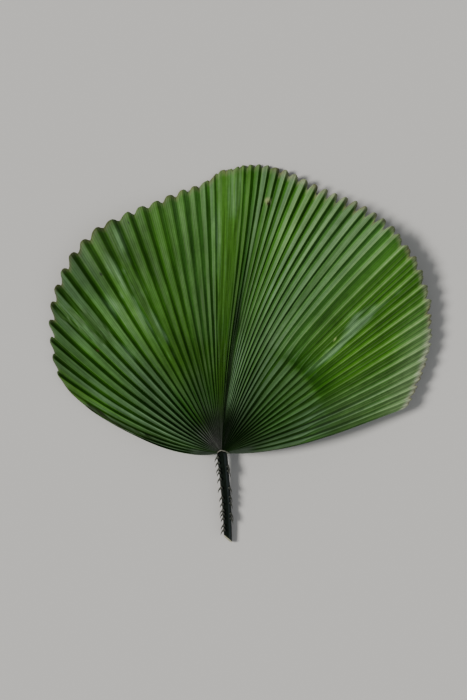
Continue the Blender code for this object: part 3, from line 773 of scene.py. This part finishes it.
def stalk_rings(trees):
    """Sections from the slanting cut to the hub, and on along the rib under the blade."""
    rings = []
    for k in range(STALK_STATIONS):
        share = k / (STALK_STATIONS - 1)
        depth = STALK_DEPTH_CUT + (STALK_DEPTH_HUB - STALK_DEPTH_CUT) * share
        swell = 1 + 0.02 * math.sin(share * 23) + 0.012 * math.sin(share * 61 + 1)
        channel = CHANNEL * float(1 - smooth(0.9, 1.0, share))
        width = stalk_width(share) * swell
        rings.append(ring(stalk_centre(share), width, depth, channel, STALK_SIDES))
    first = rings[0]
    off = first - np.array(CUT_CENTRE)
    first[:, 1] = CUT_CENTRE.y - (CUT_NORMAL.x * off[:, 0] + CUT_NORMAL.z * off[:, 2]) / CUT_NORMAL.y
    for k in range(1, 7):
        rings[k][:, 1] += (first[:, 1] - CUT_CENTRE.y) * (1 - k / 7)
    for k in range(1, RIB_STATIONS + 1):
        t = k / RIB_STATIONS
        share = 0.012 + (RIB_END - 0.012) * t
        width = STALK_WIDTH_HUB + (RIB_TIP_WIDTH - STALK_WIDTH_HUB) * t
        depth = STALK_DEPTH_HUB + (RIB_TIP_DEPTH - STALK_DEPTH_HUB) * t
        x, y = (float(value) for value in plan(SEAM, share))
        top = underside(trees, x, y, width)
        top = STALK_TOP_HUB if top is None else top
        rings.append(ring((x, y, top), width, depth, 0.0, STALK_SIDES))
    return rings


def underside(trees, x, y, width):
    """Lowest height of the sheets' underside over a strip of the rib."""
    lows = []
    for aside in np.linspace(-0.2, 0.2, 5) * width:
        start = Vector((x + aside, y, -1.0)) + HUB_PLACE
        for tree in trees:
            hit = tree.ray_cast(start, Vector((0, 0, 1)))[0]
            if hit:
                lows.append(hit.z - HUB_PLACE.z)
    return min(lows) if lows else None


def add_rings(bm, rings, cap=True):
    """Adds a loft through a row of rings to a bmesh."""
    rows = [[bm.verts.new(point) for point in points] for points in rings]
    for low, high in zip(rows, rows[1:]):
        for k in range(len(low)):
            after = (k + 1) % len(low)
            bm.faces.new((low[k], low[after], high[after], high[k]))
    if cap:
        bm.faces.new(rows[0])
        bm.faces.new(rows[-1])


def add_thorn(bm, root, along, length, radius):
    """A thorn that bends from the stalk back towards the cut, with a broad foot."""
    rings = []
    steps = 8
    for k in range(steps + 1):
        t = k / steps
        turn = Vector((along.x * (1 - 0.45 * t), along.y - 0.4 * t, along.z)).normalized()
        centre = root + turn * (length * (t - 0.12))
        size = radius * (1 - t) ** 0.8 * (1 + 0.9 * math.exp(-t * 9)) + 0.00004
        frame_of = turn.to_track_quat("Z", "Y").to_matrix()
        rings.append([centre + frame_of @ Vector((size * math.cos(a), size * 1.5 * math.sin(a), 0))
                      for a in (2 * math.pi * j / 10 for j in range(10))])
    add_rings(bm, rings)


def finish_mesh(name, bm, material):
    bmesh.ops.recalc_face_normals(bm, faces=bm.faces[:])
    bmesh.ops.translate(bm, verts=bm.verts[:], vec=HUB_PLACE)
    mesh = bpy.data.meshes.new(name)
    bm.to_mesh(mesh)
    bm.free()
    return new_object(name, mesh, material)


def stalk(trees, material):
    bm = bmesh.new()
    add_rings(bm, stalk_rings(trees), cap=False)
    bm.faces.new(ring_verts(bm, 0))
    bm.faces.new(ring_verts(bm, STALK_STATIONS + RIB_STATIONS - 1))
    return finish_mesh("stalk", bm, material)


def ring_verts(bm, number):
    bm.verts.ensure_lookup_table()
    return [bm.verts[number * STALK_SIDES + k] for k in range(STALK_SIDES)]


def thorns(material):
    rng = np.random.default_rng(21)
    bm = bmesh.new()
    for side, stations, (length, radius, along) in ((-1, THORNS_LEFT, THORN_LEFT),
                                                    (1, THORNS_RIGHT, THORN_RIGHT)):
        for down in stations:
            share = 1 - down / -CUT_CENTRE.y
            centre = Vector(stalk_centre(share))
            root = centre + Vector((side * 0.46 * stalk_width(share), 0, -0.32 * STALK_DEPTH_CUT))
            add_thorn(bm, root, along.normalized(), length * rng.uniform(0.8, 1.15), radius)
    return finish_mesh("thorns", bm, material)


def cut_fibres(material):
    """Bundle ends that stand a little out of the cut face."""
    rng = np.random.default_rng(4)
    across = CUT_NORMAL.cross(Vector((0, 0, 1))).normalized()
    up = across.cross(CUT_NORMAL).normalized()
    bm = bmesh.new()
    for k in range(90):
        radius = math.sqrt((k + 0.5) / 90)
        angle = k * 2.399963
        a = radius * math.cos(angle) * STALK_WIDTH_CUT * 0.56 + rng.uniform(-0.0001, 0.0001)
        b = radius * math.sin(angle) * STALK_DEPTH_CUT * 0.44
        if b > STALK_DEPTH_CUT * 0.27:
            continue
        centre = CUT_CENTRE + across * a + up * b
        turn = CUT_NORMAL.to_track_quat("Z", "Y").to_matrix().to_4x4()
        bmesh.ops.create_cone(bm, cap_ends=True, segments=8, radius1=0.00022, radius2=0.00015,
                              depth=0.0004 + rng.uniform(0, 0.0004),
                              matrix=Matrix.Translation(centre) @ turn)
    return finish_mesh("cut_fibres", bm, material)


def hastula(material):
    """The raised ridge at the hub, bent like a low roof, thin and uneven along its top."""
    rings = []
    for k in range(HASTULA_STEPS + 1):
        angle = math.radians(np.interp(k, (0, HASTULA_STEPS), HASTULA_SPAN))
        across, along = math.cos(angle), math.sin(angle)
        wide = HASTULA_RIGHT if across > 0 else HASTULA_LEFT
        spread = abs(across) ** HASTULA_ROUNDNESS + abs(along) ** HASTULA_ROUNDNESS
        tent = spread ** (-1 / HASTULA_ROUNDNESS)
        low = HASTULA_LOW_RIGHT if across > 0 else HASTULA_LOW_LEFT
        bulge = low + (1 - low) * max(0.0, along)
        top = HASTULA_RISE * (bulge - 0.04 - 0.05 * math.sin(k * 1.7) - 0.04 * math.sin(k * 0.6))
        end = math.sin(math.pi * min(max(k / HASTULA_STEPS, 0.02), 0.98)) ** 0.35
        half = HASTULA_THICKNESS / 2 * end * (0.8 + 0.15 * math.sin(k * 0.9))
        points = []
        for j in range(HASTULA_SIDES):
            turn = 2 * math.pi * j / HASTULA_SIDES
            inset = half * math.cos(turn) * (1 - 0.45 * max(0.0, math.sin(turn)))
            points.append(Vector((HASTULA_PEAK + (wide + inset) * across * tent,
                                  (HASTULA_LONG + inset) * along * tent,
                                  STALK_TOP_HUB + 0.5 * top * (1 + math.sin(turn)))))
        rings.append(points)
    bm = bmesh.new()
    add_rings(bm, rings)
    return finish_mesh("hastula_ridge", bm, material)


def node(material, kind, **inputs):
    made = material.node_tree.nodes.new(kind)
    for key, value in inputs.items():
        made.inputs[key].default_value = value
    return made


def link(material, source, target):
    material.node_tree.links.new(source, target)


def plain_material(name, colour, roughness):
    material = bpy.data.materials.new(name)
    material.use_nodes = True
    shader = material.node_tree.nodes["Principled BSDF"]
    shader.inputs["Base Color"].default_value = (*colour, 1)
    shader.inputs["Roughness"].default_value = roughness
    shader.inputs["Specular IOR Level"].default_value = SPECULAR
    return material, shader


def dull_surface(material, level):
    material.node_tree.nodes["Principled BSDF"].inputs["Specular IOR Level"].default_value = level


def spread_to(material, source, lowest, share):
    """Spreads a value between lowest and 1 over a run of shares."""
    made = node(material, "ShaderNodeMapRange")
    made.inputs["From Min"].default_value = lowest
    made.inputs["To Min"].default_value = share[0]
    made.inputs["To Max"].default_value = share[1]
    link(material, source, made.inputs["Value"])
    return made


def leaf_material():
    """Leaf tissue: the colours of the points, fine veins along the pleats, a matt surface."""
    material, shader = plain_material("leaf_blade", LEAF_GREEN, LEAF_ROUGHNESS)
    dull_surface(material, LEAF_SPECULAR)
    tint = material.node_tree.nodes.new("ShaderNodeAttribute")
    tint.attribute_name = "tint"
    strand = material.node_tree.nodes.new("ShaderNodeAttribute")
    strand.attribute_name = "strand"
    veins = node(material, "ShaderNodeMath")
    veins.operation = "MULTIPLY"
    veins.inputs[1].default_value = 2 * math.pi * VEINS_PER_LOBE
    link(material, strand.outputs["Fac"], veins.inputs[0])
    wave = node(material, "ShaderNodeMath")
    wave.operation = "SINE"
    link(material, veins.outputs[0], wave.inputs[0])
    place = material.node_tree.nodes.new("ShaderNodeTexCoord")
    grain = node(material, "ShaderNodeTexNoise", Scale=LEAF_GRAIN, Detail=5.0, Roughness=0.6)
    link(material, place.outputs["Object"], grain.inputs["Vector"])
    vein_share = spread_to(material, wave.outputs[0], -1, VEIN_SHARE)
    grain_share = spread_to(material, grain.outputs["Fac"], 0, GRAIN_SHARE)
    both = node(material, "ShaderNodeMath")
    both.operation = "MULTIPLY"
    link(material, vein_share.outputs[0], both.inputs[0])
    link(material, grain_share.outputs[0], both.inputs[1])
    scaled = node(material, "ShaderNodeVectorMath")
    scaled.operation = "SCALE"
    link(material, tint.outputs["Color"], scaled.inputs[0])
    link(material, both.outputs[0], scaled.inputs["Scale"])
    link(material, scaled.outputs[0], shader.inputs["Base Color"])
    height = node(material, "ShaderNodeMath")
    height.operation = "MULTIPLY_ADD"
    height.inputs[1].default_value = 0.35
    link(material, wave.outputs[0], height.inputs[0])
    link(material, grain.outputs["Fac"], height.inputs[2])
    relief = node(material, "ShaderNodeBump", Strength=0.35, Distance=0.0003)
    link(material, height.outputs[0], relief.inputs["Height"])
    link(material, relief.outputs[0], shader.inputs["Normal"])
    return material


def grained_material(name, tones, roughness, scale, stretch):
    """A material whose colour runs between two tones in grain stretched along the stalk."""
    dark, light = tones
    material, shader = plain_material(name, light, roughness)
    place = material.node_tree.nodes.new("ShaderNodeTexCoord")
    mapping = node(material, "ShaderNodeMapping", Scale=(1, stretch, 1))
    link(material, place.outputs["Object"], mapping.inputs["Vector"])
    grain = node(material, "ShaderNodeTexNoise", Scale=scale, Detail=6.0, Roughness=0.6)
    link(material, mapping.outputs[0], grain.inputs["Vector"])
    ramp = material.node_tree.nodes.new("ShaderNodeValToRGB")
    ramp.color_ramp.elements[0].position = 0.3
    ramp.color_ramp.elements[0].color = (*dark, 1)
    ramp.color_ramp.elements[1].position = 0.7
    ramp.color_ramp.elements[1].color = (*light, 1)
    link(material, grain.outputs["Fac"], ramp.inputs["Fac"])
    link(material, ramp.outputs["Color"], shader.inputs["Base Color"])
    relief = node(material, "ShaderNodeBump", Strength=0.4, Distance=0.0002)
    link(material, grain.outputs["Fac"], relief.inputs["Height"])
    link(material, relief.outputs[0], shader.inputs["Normal"])
    return material


def tree_of(piece):
    return BVHTree.FromObject(piece, bpy.context.evaluated_depsgraph_get())


def build_leaf():
    leaf = leaf_material()
    left = blade_sheet("blade_sheet_left", 0, SEAM, leaf)
    right = blade_sheet("blade_sheet_right", SEAM, LAST, leaf)
    for piece, solid in ((left, "blade_left"), (right, "blade_right")):
        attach(piece, "root")
        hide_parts(solid)
    green = grained_material("leaf_stalk", STALK_TONES, *STALK_GRAIN)
    dull_surface(green, STALK_SPECULAR)
    sheen = grained_material("stalk_sheen", SHEEN_TONES, *STALK_GRAIN)
    thorn_green = grained_material("thorn_green", THORN_TONES, *THORN_GRAIN)
    pale = grained_material("cut_pale", CUT_TONES, *CUT_GRAIN)
    ridge = grained_material("hastula_pale", HASTULA_TONES, *HASTULA_GRAIN)
    trees = [tree_of(left), tree_of(right)]
    stem = stalk(trees, green)
    stem.data.materials.append(pale)
    stem.data.materials.append(sheen)
    # Faces on the sheen sides take the painted sheen strip
    for face in stem.data.polygons:
        if face.index < (STALK_STATIONS - 1) * STALK_SIDES and face.index % STALK_SIDES in SHEEN_SIDES:
            face.material_index = 2
        end = len(face.vertices) == STALK_SIDES
        if end and face.center.y < 0 and face.normal.dot(CUT_NORMAL) > 0.9:
            face.material_index = 1
    stem.data.set_sharp_from_angle(angle=math.radians(50))
    for piece in (stem, thorns(thorn_green), cut_fibres(pale)):
        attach(piece, "root")
        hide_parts("petiole")
    ridge_piece = hastula(ridge)
    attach(ridge_piece, "root")
    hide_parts("hastula")


def build_stage():
    """A pale floor, a soft light from the left like the photograph's, and a weak fill."""
    bpy.ops.mesh.primitive_plane_add(size=FLOOR_SIZE, location=(0, 0, FLOOR_LEVEL))
    floor = bpy.context.active_object
    floor.name = "floor"
    material, _ = plain_material("floor_pale", FLOOR_TONE, 0.9)
    floor.data.materials.append(material)
    world = bpy.data.worlds.new("studio")
    bpy.context.scene.world = world
    world.use_nodes = True
    world.node_tree.nodes["Background"].inputs["Color"].default_value = (*SKY_TONE, 1)
    world.node_tree.nodes["Background"].inputs["Strength"].default_value = SKY_STRENGTH
    add_light("key", *KEY)
    add_light("fill", *FILL)


def add_light(name, source, spread, strength, colour):
    """A soft distant light from the direction of source, spread over some degrees of sky."""
    lamp = bpy.data.lights.new(name, "SUN")
    lamp.angle = math.radians(spread)
    lamp.energy = strength
    lamp.color = colour
    light = bpy.data.objects.new(name, lamp)
    light.rotation_euler = Vector(source).to_track_quat("Z", "Y").to_euler()
    bpy.context.scene.collection.objects.link(light)


def build_camera():
    camera = bpy.data.cameras.new("camera")
    camera.lens = LENS
    camera.sensor_width = SENSOR
    camera.clip_start = 0.01
    view = bpy.data.objects.new("camera", camera)
    view.location = (*VIEW_CENTRE, VIEW_LEVEL + VIEW_HEIGHT * LENS / SENSOR)
    bpy.context.scene.collection.objects.link(view)
    bpy.context.scene.camera = view


build_leaf()
build_stage()
build_camera()
